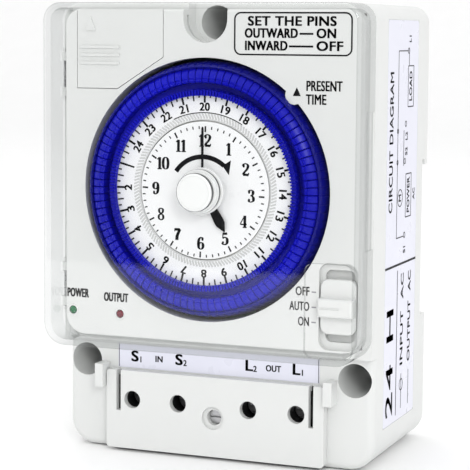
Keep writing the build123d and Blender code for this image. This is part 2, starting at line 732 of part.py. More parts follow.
with BuildPart() as lamp_board:
    block((-34.3, -19.0), (29.4, 34.6), (lamp_board_depth, lamp_board_depth + 1.0))
finish(lamp_board, "lamp_board")


# ---- circuit board and its parts ------------------------------------------------------------
with BuildPart() as circuit_board:
    block((-28.2, 28.2), (29.0, 90.5), (board_depth, board_back))
    for place in board_pillars:
        rod(place, 1.0, (board_depth - 1, board_back + 1), Mode.SUBTRACT)
finish(circuit_board, "circuit_board")

with BuildPart() as film_capacitor:
    block((-26.0, -8.0), (70.0, 78.5), (board_back, board_back + 13.0))
    fillet(film_capacitor.edges().filter_by(Axis.Y), radius=0.8)
finish(film_capacitor, "film_capacitor")

with BuildPart() as smoothing_capacitor:
    rod((0.0, 76.0), 4.0, (board_back, board_back + 12.0))
    rod((0.0, 76.0), 4.3, (board_back, board_back + 1.2))
finish(smoothing_capacitor, "smoothing_capacitor")

with BuildPart() as power_relay:
    block((6.0, 25.0), (62.0, 77.4), (board_back, board_back + 12.6))
    fillet(power_relay.edges().filter_by(Axis.Y), radius=0.6)
finish(power_relay, "power_relay")

with BuildPart() as small_components:
    for column in range(4):
        for row in range(3):
            place_x = -24.0 + 8.5 * column
            place_z = 40.0 + 8.0 * row
            with BuildSketch(Plane.YZ.offset(place_x)):
                with Locations((front_y + board_back + 1.1, place_z)):
                    Circle(1.1)
            extrude(amount=5.6)
finish(small_components, "small_components")

with BuildPart() as quartz_crystal:
    rod((14.0, 40.0), 1.5, (board_back, board_back + 8.0))
finish(quartz_crystal, "quartz_crystal")


# ---- terminals ------------------------------------------------------------------------------
cage_half = 4.2
terminal_front = 13.8

with BuildPart() as terminal_block:
    block((-25.2, 25.2), (2.6, 18.2), (terminal_front, 29.8))
    for place_x in terminal_x:
        block((place_x - cage_half - 0.2, place_x + cage_half + 0.2), (2.0, 15.4), (18.2, 28.2),
              Mode.SUBTRACT)
        rod((place_x, terminal_z), 2.4, (terminal_front - 1, 19), Mode.SUBTRACT)
        block((place_x - 1.9, place_x + 1.9), (4.7, 9.3), (28, 31), Mode.SUBTRACT)
    rod((0, cover_screw_z), 3.9, (terminal_front - 1, 16.0), Mode.SUBTRACT)
    rod((0, cover_screw_z), 1.3, (15, 24), Mode.SUBTRACT)
finish(terminal_block, "terminal_block")

with BuildPart() as terminal_cages:
    for place_x in terminal_x:
        block((place_x - cage_half, place_x + cage_half), (4.0, 15.2), (19.4, 28.0))
        block((place_x - cage_half + 1.1, place_x + cage_half - 1.1), (3.0, 16.0), (20.8, 27.0),
              Mode.SUBTRACT)
        rod((place_x, terminal_z), 1.7, (19, 21), Mode.SUBTRACT)
finish(terminal_cages, "terminal_cages")

with BuildPart() as terminal_screws:
    for place_x in terminal_x:
        rod((place_x, terminal_z), 2.2, (16.8, 18.8))
        rod((place_x, terminal_z), 1.7, (18.8, 23.8))
        block((place_x - 1.8, place_x + 1.8), (terminal_z - 0.35, terminal_z + 0.35), (16.7, 17.6),
              Mode.SUBTRACT)
        block((place_x - 0.35, place_x + 0.35), (terminal_z - 1.8, terminal_z + 1.8), (16.7, 17.6),
              Mode.SUBTRACT)
finish(terminal_screws, "terminal_screws")

with BuildPart() as terminal_tails:
    for place_x in terminal_x:
        block((place_x - 1.6, place_x + 1.6), (5.0, 9.0), (28.0, 32.6))
        block((place_x - 1.6, place_x + 1.6), (5.0, 34.0), (32.6, 33.6))
        block((place_x - 0.8, place_x + 0.8), (32.0, 34.0), (board_back, 32.6))
finish(terminal_tails, "terminal_tails")

with BuildPart() as terminal_cover:
    slab((-terminal_cover_half, terminal_cover_half), (0.6, terminal_cover_top),
         (terminal_cover_depth, lower_front_depth - 0.1), 0.8, 0.8)
    slab((-terminal_cover_half + 1.4, terminal_cover_half - 1.4), (-1, terminal_cover_top - 1.4),
         (terminal_cover_depth + 1.6, lower_front_depth + 1), 0.5, 0.5, Mode.SUBTRACT)
    for side in (-1, 1):
        block((side * 23.3 - 0.55, side * 23.3 + 0.55), (9.3, terminal_cover_top + 1),
              (terminal_cover_depth - 1, lower_front_depth + 1), Mode.SUBTRACT)
    for place_x in terminal_x:
        rod((place_x, terminal_z), 2.0, (terminal_cover_depth - 1, lower_front_depth),
            Mode.SUBTRACT)
    # the sunk seat of the cover screw
    rod((0, cover_screw_z), 3.6, (terminal_cover_depth + 0.5, 15.4))
    rod((0, cover_screw_z), 2.6, (terminal_cover_depth - 1, terminal_cover_depth + 1.0),
        Mode.SUBTRACT)
    rod((0, cover_screw_z), 1.75, (terminal_cover_depth, 14.6), Mode.SUBTRACT)
    rod((0, cover_screw_z), 1.3, (14, 16), Mode.SUBTRACT)
finish(terminal_cover, "terminal_cover")

with BuildPart() as terminal_cover_screw:
    rod((0, cover_screw_z), 1.6, (13.3, 14.6))
    rod((0, cover_screw_z), 1.2, (14.6, 22.0))
    block((-2.5, 2.5), (cover_screw_z - 0.25, cover_screw_z + 0.25), (13.2, 13.9), Mode.SUBTRACT)
finish(terminal_cover_screw, "terminal_cover_screw")


# ---- labels ---------------------------------------------------------------------------------
with BuildPart() as terminal_label:
    block((-24.4, 24.4), (18.9, 24.4), (lower_front_depth - label_thickness, lower_front_depth))
finish(terminal_label, "terminal_label")

with BuildPart() as side_label:
    with BuildSketch(Plane.YZ.offset(half - label_thickness)):
        with Locations(side_label_middle):
            RectangleRounded(side_label_size[0], side_label_size[1], 0.8)
    extrude(amount=label_thickness)
finish(side_label, "side_label")


# ---- rail clip, its spring, and the screws --------------------------------------------------
with BuildPart() as rail_clip:
    block((-clip_half + 1.4, clip_half - 1.4), (clip_low, rail_low + 1.6),
          (clip_depth + 0.2, total_depth - 0.1))
    block((-clip_half, clip_half), (clip_low + 5, rail_low - 0.6),
          (clip_depth + 0.2, total_depth - 1.5))
    # the slanted nose that snaps over the rail
    with BuildSketch(Plane.YZ.offset(-clip_half)):
        with BuildLine():
            Polyline((front_y + total_depth, rail_low + 1.7),
                     (front_y + total_depth, rail_low + 4), (front_y + 51.0, rail_low + 4),
                     close=True)
        make_face()
    extrude(amount=2 * clip_half, mode=Mode.SUBTRACT)
    # the finger slot for a screwdriver, and the well of the spring
    block((-2.5, 2.5), (clip_low + 1.2, clip_low + 3.4), (clip_depth, total_depth + 1),
          Mode.SUBTRACT)
    block((-2.6, 2.6), (clip_low + 7, clip_low + 19), (clip_depth, total_depth - 1.9),
          Mode.SUBTRACT)
finish(rail_clip, "rail_clip")

with BuildPart() as rail_clip_spring:
    with BuildLine() as coil_path:
        Helix(pitch=1.15, height=10.2, radius=1.1, center=(0, front_y + 50.75, clip_low + 8.4))
    with BuildSketch(Plane(coil_path.line @ 0, z_dir=coil_path.line % 0)):
        Circle(0.22)
    sweep()
finish(rail_clip_spring, "rail_clip_spring")

with BuildPart() as case_screws:
    for side in (-1, 1):
        rod((side * case_screw_x, case_screw_z), 2.6, (total_depth - 1.5, total_depth - 0.2))
        rod((side * case_screw_x, case_screw_z), 1.1, (40.0, total_depth - 1.5))
        block((side * case_screw_x - 1.9, side * case_screw_x + 1.9),
              (case_screw_z - 0.3, case_screw_z + 0.3), (total_depth - 0.9, total_depth),
              Mode.SUBTRACT)
        block((side * case_screw_x - 0.3, side * case_screw_x + 0.3),
              (case_screw_z - 1.9, case_screw_z + 1.9), (total_depth - 0.9, total_depth),
              Mode.SUBTRACT)
finish(case_screws, "case_screws")

with BuildPart() as board_screws:
    for place in board_pillars:
        rod(place, 1.8, (board_depth - 1.2, board_depth))
        rod(place, 0.9, (board_depth, board_back + 6))
finish(board_screws, "board_screws")

with BuildPart() as movement_screws:
    for post in movement_posts:
        rod(post, 1.5, (plate_depth + plate_thickness, plate_depth + plate_thickness + 1.0))
        rod(post, 0.7, (11.2, plate_depth + plate_thickness))
finish(movement_screws, "movement_screws")
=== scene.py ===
"""Looks of a 24-hour time switch: printed dials, captive pins, clear cover and moulded case.

Sizes are in millimetres, and a "depth" is a distance behind the clear cover's front face, as in
the CAD model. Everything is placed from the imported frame's own boxes.
"""
import math

import bmesh
import bpy
import json
from mathutils import Euler, Matrix, Vector


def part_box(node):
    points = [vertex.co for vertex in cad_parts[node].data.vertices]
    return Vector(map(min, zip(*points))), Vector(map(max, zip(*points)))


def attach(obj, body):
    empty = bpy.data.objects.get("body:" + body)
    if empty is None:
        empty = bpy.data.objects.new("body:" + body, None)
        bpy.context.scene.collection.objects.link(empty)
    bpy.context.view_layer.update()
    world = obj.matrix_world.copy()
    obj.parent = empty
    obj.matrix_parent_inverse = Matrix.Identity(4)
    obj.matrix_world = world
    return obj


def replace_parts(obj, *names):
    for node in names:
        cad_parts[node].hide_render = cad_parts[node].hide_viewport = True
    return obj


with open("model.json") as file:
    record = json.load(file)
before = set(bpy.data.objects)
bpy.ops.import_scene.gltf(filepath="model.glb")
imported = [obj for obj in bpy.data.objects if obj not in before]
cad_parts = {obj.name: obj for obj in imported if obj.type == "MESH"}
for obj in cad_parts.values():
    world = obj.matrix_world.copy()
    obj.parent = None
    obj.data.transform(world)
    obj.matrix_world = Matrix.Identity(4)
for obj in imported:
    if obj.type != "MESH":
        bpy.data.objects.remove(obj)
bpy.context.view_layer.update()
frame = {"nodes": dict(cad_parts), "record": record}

MM = 0.001

# ---- places read from the frame -------------------------------------------------------------
cover_low, cover_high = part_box("clear_cover")
panel_low, panel_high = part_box("front_panel")
ring_low, ring_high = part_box("pin_ring")
label_low, label_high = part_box("terminal_label")
side_low, side_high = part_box("side_label")
front_y = cover_low.y
dial_x = (ring_low.x + ring_high.x) / 2 / MM
dial_z = (ring_low.z + ring_high.z) / 2 / MM
panel_depth = (panel_low.y - front_y) / MM
label_depth = (label_low.y - front_y) / MM
side_x = side_high.x / MM

# ---- sizes ----------------------------------------------------------------------------------
ink = 0.04
pin_count = 96
pin_pitch = 360 / pin_count
first_pin_angle = 46.875
loose_pins = 4
pin_inner = 23.7
pin_length = 3.1
pin_share = 0.92
pin_front = 6.0
trough_floor = 9.0


# ---- geometry helpers -----------------------------------------------------------------------
def place(x, z, depth):
    """A point from its X, Z and depth in millimetres."""
    return Vector((x * MM, front_y + depth * MM, z * MM))


def polar(radius, angle):
    """X and Z at a radius and an angle from +X about the dial's axis."""
    turn = math.radians(angle)
    return dial_x + radius * math.cos(turn), dial_z + radius * math.sin(turn)


def add_piece(name, mesh_data, material, body, smooth=True):
    """Turn a bmesh into a piece that rides on a CAD body."""
    mesh = bpy.data.meshes.new(name)
    bmesh.ops.recalc_face_normals(mesh_data, faces=mesh_data.faces)
    mesh_data.to_mesh(mesh)
    mesh_data.free()
    mesh.materials.append(material)
    piece = bpy.data.objects.new(name, mesh)
    bpy.context.scene.collection.objects.link(piece)
    if smooth:
        mesh.shade_smooth()
        mesh.set_sharp_from_angle(angle=math.radians(35))
    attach(piece, body)
    return piece


def prism(mesh_data, outline, front, back):
    """Add a solid whose outline, in X and Z, runs between two depths."""
    near = [mesh_data.verts.new(place(x, z, front)) for x, z in outline]
    far = [mesh_data.verts.new(place(x, z, back)) for x, z in outline]
    mesh_data.faces.new(near)
    mesh_data.faces.new(far[::-1])
    for i in range(len(outline)):
        j = (i + 1) % len(outline)
        mesh_data.faces.new((near[i], near[j], far[j], far[i]))


def bar(mesh_data, start, end, width, front, back):
    """Add a straight printed line between two points."""
    direction = Vector((end[0] - start[0], end[1] - start[1])).normalized() * width / 2
    side = Vector((-direction.y, direction.x))
    outline = [(start[0] + side.x, start[1] + side.y), (start[0] - side.x, start[1] - side.y),
               (end[0] - side.x, end[1] - side.y), (end[0] + side.x, end[1] + side.y)]
    prism(mesh_data, outline, front, back)


def arc_band(mesh_data, centre, inner, outer, start, end, front, back, steps=48):
    """Add a curved printed band between two angles in degrees."""
    angles = [math.radians(start + (end - start) * i / steps) for i in range(steps + 1)]
    closed = abs(end - start) >= 360
    rows = []
    for angle in angles[:-1] if closed else angles:
        across, up = math.cos(angle), math.sin(angle)
        corners = ((inner, front), (outer, front), (outer, back), (inner, back))
        rows.append([mesh_data.verts.new(place(centre[0] + r * across, centre[1] + r * up, d))
                     for r, d in corners])
    for i in range(len(rows) if closed else len(rows) - 1):
        here, after = rows[i], rows[(i + 1) % len(rows)]
        for k in range(4):
            m = (k + 1) % 4
            mesh_data.faces.new((here[k], here[m], after[m], after[k]))
    if not closed:
        mesh_data.faces.new(rows[0])
        mesh_data.faces.new(rows[-1][::-1])


def lathe(mesh_data, profile, centre, steps=192):
    """Revolve a closed profile of (radius, depth) pairs about the Y direction."""
    rows = []
    for i in range(steps):
        angle = 2 * math.pi * i / steps
        rows.append([mesh_data.verts.new(place(centre[0] + r * math.cos(angle),
                                               centre[1] + r * math.sin(angle), d))
                     for r, d in profile])
    for i in range(steps):
        here, after = rows[i], rows[(i + 1) % steps]
        for k in range(len(profile)):
            m = (k + 1) % len(profile)
            mesh_data.faces.new((here[k], here[m], after[m], after[k]))


def disc_lathe(mesh_data, profile, centre, steps=96):
    """Revolve an open profile of (radius, depth) pairs and close it on the axis at both ends."""
    rows = []
    for i in range(steps):
        angle = 2 * math.pi * i / steps
        rows.append([mesh_data.verts.new(place(centre[0] + r * math.cos(angle),
                                               centre[1] + r * math.sin(angle), d))
                     for r, d in profile])
    for i in range(steps):
        here, after = rows[i], rows[(i + 1) % steps]
        for k in range(len(profile) - 1):
            mesh_data.faces.new((here[k], here[k + 1], after[k + 1], after[k]))
    mesh_data.faces.new([row[0] for row in rows])
    mesh_data.faces.new([row[-1] for row in rows][::-1])


def rounded_outline(x_span, z_span, radius, steps=8):
    """The outline of a rectangle with rounded corners."""
    points = []
    corners = ((x_span[1] - radius, z_span[1] - radius, 0), (x_span[0] + radius, z_span[1] - radius, 90),
               (x_span[0] + radius, z_span[0] + radius, 180), (x_span[1] - radius, z_span[0] + radius, 270))
    for x, z, start in corners:
        for i in range(steps + 1):
            angle = math.radians(start + 90 * i / steps)
            points.append((x + radius * math.cos(angle), z + radius * math.sin(angle)))
    return points


def frame_line(mesh_data, x_span, z_span, radius, width, front, back):
    """Add a printed frame with rounded corners."""
    outer = rounded_outline(x_span, z_span, radius)
    inner = rounded_outline((x_span[0] + width, x_span[1] - width),
                            (z_span[0] + width, z_span[1] - width), radius - width)
    loops = [[mesh_data.verts.new(place(x, z, d)) for x, z in line]
             for line, d in ((outer, front), (inner, front), (inner, back), (outer, back))]
    count = len(outer)
    for i in range(count):
        j = (i + 1) % count
        for k in range(4):
            m = (k + 1) % 4
            mesh_data.faces.new((loops[k][i], loops[k][j], loops[m][j], loops[m][i]))


def front_matrix(x, z, depth, spin=0.0):
    """The place and turn of flat print that faces the front."""
    facing = Matrix(((1, 0, 0), (0, 0, -1), (0, 1, 0))).to_4x4()
    return Matrix.Translation(place(x, z, depth)) @ facing @ Matrix.Rotation(spin, 4, "Z")


def side_matrix(y, z):
    """The place of print on the right side that reads upwards."""
    facing = Matrix(((0, 0, 1), (0, -1, 0), (1, 0, 0))).to_4x4()
    return Matrix.Translation(Vector((side_x * MM, y * MM, z * MM))) @ facing


def letter(mesh_data, text, matrix, cap_height, width=None, bold=0.0, align="CENTER"):
    """Add raised lettering in the built-in font, its strokes thickened by overlapping copies."""
    curve = bpy.data.curves.new("letters", "FONT")
    curve.body = text
    curve.size = cap_height / 0.682 * MM
    curve.align_x = align
    curve.align_y = "CENTER"
    curve.extrude = ink * MM
    curve.resolution_u = 4
    curve.space_character = 1.0 + 0.6 * bold
    holder = bpy.data.objects.new("letters", curve)
    bpy.context.scene.collection.objects.link(holder)
    bpy.context.view_layer.update()
    squeeze = width * MM / holder.dimensions.x if width else 0.9
    flat = bpy.data.meshes.new_from_object(holder)
    bold_steps = ((-0.8, -0.4), (-0.8, 0.4), (0.8, -0.4), (0.8, 0.4)) if bold else ((0, 0),)
    for across, up in bold_steps:
        copy = flat.copy()
        step = Matrix.Translation((across * bold * MM, up * bold * MM, 0))
        copy.transform(matrix @ step @ Matrix.Diagonal((squeeze, 1, 1, 1)))
        mesh_data.from_mesh(copy)
        bpy.data.meshes.remove(copy)
    bpy.data.objects.remove(holder)
    bpy.data.meshes.remove(flat)
    bpy.data.curves.remove(curve)


# ---- material helpers -----------------------------------------------------------------------
def new_material(name):
    """An empty node material with its tree, shader and object coordinates."""
    material = bpy.data.materials.new(name)
    material.use_nodes = True
    tree = material.node_tree
    shader = tree.nodes["Principled BSDF"]
    coordinates = tree.nodes.new("ShaderNodeTexCoord")
    return material, tree, shader, coordinates


def noise(tree, coordinates, scale, detail=3.0, stretch=(1, 1, 1)):
    """A noise texture in object space."""
    mapping = tree.nodes.new("ShaderNodeMapping")
    mapping.inputs["Scale"].default_value = stretch
    texture = tree.nodes.new("ShaderNodeTexNoise")
    texture.inputs["Scale"].default_value = scale
    texture.inputs["Detail"].default_value = detail
    tree.links.new(coordinates.outputs["Object"], mapping.inputs["Vector"])
    tree.links.new(mapping.outputs["Vector"], texture.inputs["Vector"])
    return texture.outputs["Fac"]


def ranged(tree, value, low, high):
    """Map a noise value, which stays near its middle, onto a range."""
    node = tree.nodes.new("ShaderNodeMapRange")
    node.inputs["From Min"].default_value = 0.3
    node.inputs["From Max"].default_value = 0.7
    node.inputs["To Min"].default_value = low
    node.inputs["To Max"].default_value = high
    tree.links.new(value, node.inputs["Value"])
    return node.outputs["Result"]


def blended(tree, value, dark, light):
    """A colour between two, by a noise value."""
    ramp = tree.nodes.new("ShaderNodeValToRGB")
    ramp.color_ramp.elements[0].position = 0.3
    ramp.color_ramp.elements[1].position = 0.7
    ramp.color_ramp.elements[0].color = (*dark, 1)
    ramp.color_ramp.elements[1].color = (*light, 1)
    tree.links.new(value, ramp.inputs["Fac"])
    return ramp.outputs["Color"]


def moulded(name, colour, roughness, grain=900.0, grain_height=0.02, variation=0.03, coat=0.0,
            specular=0.5):
    """Moulded plastic: faint flow variation, an uneven gloss and a fine surface grain."""
    material, tree, shader, coordinates = new_material(name)
    flow = noise(tree, coordinates, 45.0, 4.0, (1, 1, 0.5))
    dark = tuple(max(0.0, c * (1 - variation)) for c in colour)
    tree.links.new(blended(tree, flow, dark, colour), shader.inputs["Base Color"])
    gloss = noise(tree, coordinates, 130.0)
    tree.links.new(ranged(tree, gloss, roughness - 0.04, roughness + 0.05), shader.inputs["Roughness"])
    bump = tree.nodes.new("ShaderNodeBump")
    bump.inputs["Distance"].default_value = grain_height * MM
    bump.inputs["Strength"].default_value = 0.6
    tree.links.new(noise(tree, coordinates, grain, 2.0), bump.inputs["Height"])
    tree.links.new(bump.outputs["Normal"], shader.inputs["Normal"])
    shader.inputs["Coat Weight"].default_value = coat
    shader.inputs["Coat Roughness"].default_value = 0.08
    shader.inputs["IOR"].default_value = 1.5
    shader.inputs["Specular IOR Level"].default_value = specular
    return material


def metal(name, colour, roughness, stretch=(1, 1, 12)):
    """Worked metal with drawn streaks in its gloss."""
    material, tree, shader, coordinates = new_material(name)
    streak = noise(tree, coordinates, 350.0, 5.0, stretch)
    dark = tuple(c * 0.86 for c in colour)
    tree.links.new(blended(tree, streak, dark, colour), shader.inputs["Base Color"])
    tree.links.new(ranged(tree, streak, roughness - 0.08, roughness + 0.1), shader.inputs["Roughness"])
    shader.inputs["Metallic"].default_value = 1.0
    bump = tree.nodes.new("ShaderNodeBump")
    bump.inputs["Distance"].default_value = 0.01 * MM
    tree.links.new(streak, bump.inputs["Height"])
    tree.links.new(bump.outputs["Normal"], shader.inputs["Normal"])
    return material


def clear_plastic(name):
    """Thin clear polycarbonate: what it covers shows through, under a faint uneven gloss, and turns greyer
    at grazing angles as painted shade that outlines its walls.
    """
    material, tree, shader, coordinates = new_material(name)
    tree.nodes.remove(shader)
    passing = tree.nodes.new("ShaderNodeBsdfTransparent")
    # What shows through turns grey at grazing angles: painted shade that outlines the cover's walls.
    edge = tree.nodes.new("ShaderNodeLayerWeight")
    edge.inputs["Blend"].default_value = 0.4
    tree.links.new(blended(tree, edge.outputs["Facing"], (0.995, 0.998, 0.997), (0.74, 0.75, 0.748)),
                   passing.inputs["Color"])
    mirror = tree.nodes.new("ShaderNodeBsdfGlossy")
    gloss = noise(tree, coordinates, 60.0)
    tree.links.new(ranged(tree, gloss, 0.02, 0.06), mirror.inputs["Roughness"])
    fresnel = tree.nodes.new("ShaderNodeFresnel")
    fresnel.inputs["IOR"].default_value = 1.65
    geometry = tree.nodes.new("ShaderNodeNewGeometry")
    outer = tree.nodes.new("ShaderNodeMath")
    outer.operation = "SUBTRACT"
    outer.use_clamp = True
    tree.links.new(fresnel.outputs["Fac"], outer.inputs[0])
    tree.links.new(geometry.outputs["Backfacing"], outer.inputs[1])
    mix = tree.nodes.new("ShaderNodeMixShader")
    tree.links.new(outer.outputs["Value"], mix.inputs["Fac"])
    tree.links.new(passing.outputs["BSDF"], mix.inputs[1])
    tree.links.new(mirror.outputs["BSDF"], mix.inputs[2])
    light = tree.nodes.new("ShaderNodeLightPath")
    either = tree.nodes.new("ShaderNodeMath")
    either.operation = "MAXIMUM"
    tree.links.new(light.outputs["Is Shadow Ray"], either.inputs[0])
    tree.links.new(light.outputs["Is Diffuse Ray"], either.inputs[1])
    unseen = tree.nodes.new("ShaderNodeBsdfTransparent")
    surface = tree.nodes.new("ShaderNodeMixShader")
    tree.links.new(either.outputs["Value"], surface.inputs["Fac"])
    tree.links.new(mix.outputs["Shader"], surface.inputs[1])
    tree.links.new(unseen.outputs["BSDF"], surface.inputs[2])
    tree.links.new(surface.outputs["Shader"], tree.nodes["Material Output"].inputs["Surface"])
    return material


def lens(name, colour):
    """A tinted lamp lens, unlit, with a slight inner glow of its dye."""
    material = moulded(name, colour, 0.14, 400.0, 0.01, 0.35, 0.6)
    material.node_tree.nodes["Principled BSDF"].inputs["Subsurface Weight"].default_value = 0.2
    material.node_tree.nodes["Principled BSDF"].inputs["Subsurface Scale"].default_value = 0.3 * MM
    return material


# ---- materials ------------------------------------------------------------------------------
slot_materials = {
    "housing": moulded("case_white", (0.69, 0.7, 0.69), 0.34, 1400.0, 0.012, 0.025, 0.1),
    "clear": clear_plastic("clear_cover_plastic"),
    "dial": moulded("dial_white", (0.86, 0.865, 0.87), 0.3, 1200.0, 0.006, 0.02, 0.05),
    "pin_blue": moulded("ring_blue", (0.003, 0.004, 0.47), 0.3, 1500.0, 0.01, 0.3, 0.0, 0.22),
    "knob": moulded("knob_white", (0.86, 0.865, 0.86), 0.14, 1200.0, 0.004, 0.02, 0.8),
    "black": moulded("black_plastic", (0.012, 0.012, 0.013), 0.5, 1300.0, 0.02, 0.3, 0.0, 0.25),
    "nylon": moulded("natural_acetal", (0.7, 0.7, 0.66), 0.45, 1200.0, 0.015, 0.06),
    "steel": metal("zinc_steel", (0.6, 0.6, 0.61), 0.32),
    "brass": metal("brass", (0.72, 0.54, 0.24), 0.3),
    "copper": metal("winding_copper", (0.6, 0.26, 0.1), 0.3, (20, 1, 1)),
    "board": moulded("solder_mask", (0.04, 0.2, 0.07), 0.3, 700.0, 0.03, 0.35, 0.3),
    "film": moulded("dipped_resin", (0.5, 0.33, 0.07), 0.25, 500.0, 0.05, 0.25, 0.3),
    "label": moulded("label_film", (0.72, 0.725, 0.82), 0.3, 1600.0, 0.004, 0.02, 0.2),
    "green_lens": lens("green_lens", (0.0, 0.16, 0.05)),
    "red_lens": lens("red_lens", (0.16, 0.0, 0.015)),
}
print_black = moulded("print_black", (0.006, 0.006, 0.008), 0.55, 1500.0, 0.006, 0.4, 0.0, 0.2)
print_grey = moulded("print_grey", (0.33, 0.33, 0.35), 0.5, 1500.0, 0.006, 0.2)
# Dark glossy metal for two bands on the knob's ring walls: painted reflection.
knob_reflection_dark = metal("knob_painted_reflection", (0.13, 0.13, 0.135), 0.14)
# Pale grey for the teeth between the dials: painted shade of the teeth.
teeth_shade_grey = moulded("teeth_shade_grey", (0.62, 0.625, 0.62), 0.5, 1500.0, 0.006, 0.1)
# Darker blue for the ring's outer wall and ribs: painted shade of the recess round the ring, not a second
# dye.
painted_shade_blue = moulded("ring_blue_painted_shade", (0.002, 0.003, 0.22), 0.32, 1500.0, 0.01, 0.3, 0.0, 0.2)

for row in frame["record"]["subparts"]:
    node = frame["nodes"][row["node"]]
    node.data.materials.clear()
    node.data.materials.append(slot_materials[row["material_slot"]])


# ---- blue pin ring and its time pins --------------------------------------------------------
def make_ring():
    """The carrier ring: inner lip and trough, and the outer wall with its slope in a darker blue that is
    painted shade.
    """
    data = bmesh.new()
    profile = ((21.9, 12.4), (21.9, 7.5), (20.95, 7.35), (20.9, 6.8), (21.05, 6.5), (21.3, 6.38),
               (21.95, 6.38), (22.15, 6.5), (22.2, 6.7), (22.2, trough_floor), (27.0, trough_floor),
               (27.0, 12.4))
    lathe(data, profile, (dial_x, dial_z), 240)
    rim = bmesh.new()
    profile = ((27.0, 12.4), (27.0, 7.0), (27.08, 6.85), (27.25, 6.85), (27.5, 7.1), (28.0, 8.6),
               (28.5, 11.6), (28.6, 12.4))
    lathe(rim, profile, (dial_x, dial_z), 240)
    add_piece("pin_ring_rim", rim, painted_shade_blue, "dial")
    return add_piece("pin_ring_body", data, slot_materials["pin_blue"], "dial")


def make_inner_teeth():
    """Fine teeth round the lip's crest and castellations down the lip's outer wall."""
    data = bmesh.new()
    count = 2 * pin_count
    for i in range(count):
        angle = 360 * i / count
        half_step = 0.27 * 360 / count
        outline = [polar(20.95, angle - half_step), polar(22.15, angle - half_step),
                   polar(22.15, angle + half_step), polar(20.95, angle + half_step)]
        prism(data, outline, 5.95, 6.6)
    for i in range(pin_count):
        angle = first_pin_angle + (i + 0.5) * pin_pitch
        half_step = 0.2 * pin_pitch
        outline = [polar(22.15, angle - half_step), polar(22.35, angle - half_step),
                   polar(22.35, angle + half_step), polar(22.15, angle + half_step)]
        prism(data, outline, 7.1, trough_floor)
    return add_piece("ring_inner_teeth", data, slot_materials["pin_blue"], "dial", False)


def make_outer_ribs():
    """Shallow ribs down the ring's steep outer flank, one in line with each pin, in the flank's darker blue
    of painted shade.
    """
    data = bmesh.new()
    flank = ((27.2, 6.72), (27.62, 7.05), (28.1, 8.5), (28.62, 11.6))
    for i in range(pin_count):
        angle = first_pin_angle + i * pin_pitch
        rows = []
        for radius, depth in flank:
            row = []
            for turn, sink in ((-0.42, 0.35), (-0.36, 0.0), (0.36, 0.0), (0.42, 0.35)):
                x, z = polar(radius - sink, angle + turn * pin_pitch)
                row.append(data.verts.new(place(x, z, depth + sink)))
            rows.append(row)
        for here, after in zip(rows, rows[1:]):
            for k in range(4):
                m = (k + 1) % 4
                data.faces.new((here[k], here[m], after[m], after[k]))
        data.faces.new(rows[0])
        data.faces.new(rows[-1][::-1])
    return add_piece("ring_outer_ribs", data, painted_shade_blue, "dial", False)


def add_pin(data, angle):
    """One time pin: a narrow key with a crowned head that slopes down towards its outer end."""
    turn = math.radians(angle)
    outwards = Vector((math.cos(turn), math.sin(turn)))
    across = Vector((-outwards.y, outwards.x))
    chamfer = 0.16
    stations = ((0.0, pin_front + 1.0), (0.12, pin_front + 0.35), (0.5, pin_front),
                (0.78, pin_front + 0.05), (0.88, pin_front + 0.22), (1.02, pin_front + 0.22),
                (1.12, pin_front + 0.12), (2.2, pin_front + 0.4), (pin_length, pin_front + 1.3))
    rows = []
    for along, top in stations:
        row = []
        half_width = pin_share * math.radians(pin_pitch) * (pin_inner + along) / 2
        for offset, depth in ((-half_width, trough_floor), (-half_width, top + chamfer),
                              (-half_width + chamfer, top), (half_width - chamfer, top),
                              (half_width, top + chamfer), (half_width, trough_floor)):
            point = outwards * (pin_inner + along) + across * offset
            row.append(data.verts.new(place(dial_x + point.x, dial_z + point.y, depth)))
        rows.append(row)
    for here, after in zip(rows, rows[1:]):
        for k in range(6):
            m = (k + 1) % 6
            data.faces.new((here[k], here[m], after[m], after[k]))
    data.faces.new(rows[0])
    data.faces.new(rows[-1][::-1])


def make_pins():
    """The fixed group of pins and the loose pins next to the present-time tongue."""
    group = bmesh.new()
    for i in range(loose_pins, pin_count):
        add_pin(group, first_pin_angle + i * pin_pitch)
    fixed = add_piece("time_pin_group", group, slot_materials["pin_blue"], "dial")
    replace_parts(fixed, "time_pins")
    for i in range(loose_pins):
        single = bmesh.new()
        add_pin(single, first_pin_angle + i * pin_pitch)
        name = f"time_pin_{i + 1}"
        pin = add_piece(f"{name}_head", single, slot_materials["pin_blue"], f"pin_{i + 1}")
        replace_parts(pin, name)


ring_body = make_ring()
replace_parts(ring_body, "pin_ring")
make_inner_teeth()
make_outer_ribs()
make_pins()

# ---- 24-hour dial print ---------------------------------------------------------------------
dial_face = panel_depth
hour_at_top = 20
hour_step = 15.0


def make_day_marks():
    """Hour, half-hour and quarter-hour marks of the 24-hour dial."""
    data = bmesh.new()
    for i in range(pin_count):
        angle = 90 + i * pin_pitch
        if i % 4 == 0:
            inner, width = 19.35, 0.46
        elif i % 2 == 0:
            inner, width = 19.75, 0.32
        else:
            inner, width = 20.45, 0.32
        bar(data, polar(inner, angle), polar(21.2, angle), width, dial_face - ink, dial_face)
    arc_band(data, (dial_x, dial_z), 17.05, 17.25, 59, 115.5, dial_face - ink, dial_face)
    add_piece("day_marks", data, print_black, "dial", False)


def make_day_numbers():
    """The numbers 1 to 24, their tops outwards, counting anticlockwise."""
    data = bmesh.new()
    for step in range(24):
        number = (hour_at_top + step - 1) % 24 + 1
        angle = 90 + step * hour_step
        x, z = polar(18.35, angle)
        spin = math.radians(angle - 90)
        wide = None if number == 1 else sum(0.85 if c == "1" else 1.15 for c in str(number))
        letter(data, str(number), front_matrix(x, z, dial_face, spin), 1.7, wide, 0.1)
    add_piece("day_numbers", data, print_black, "dial", False)


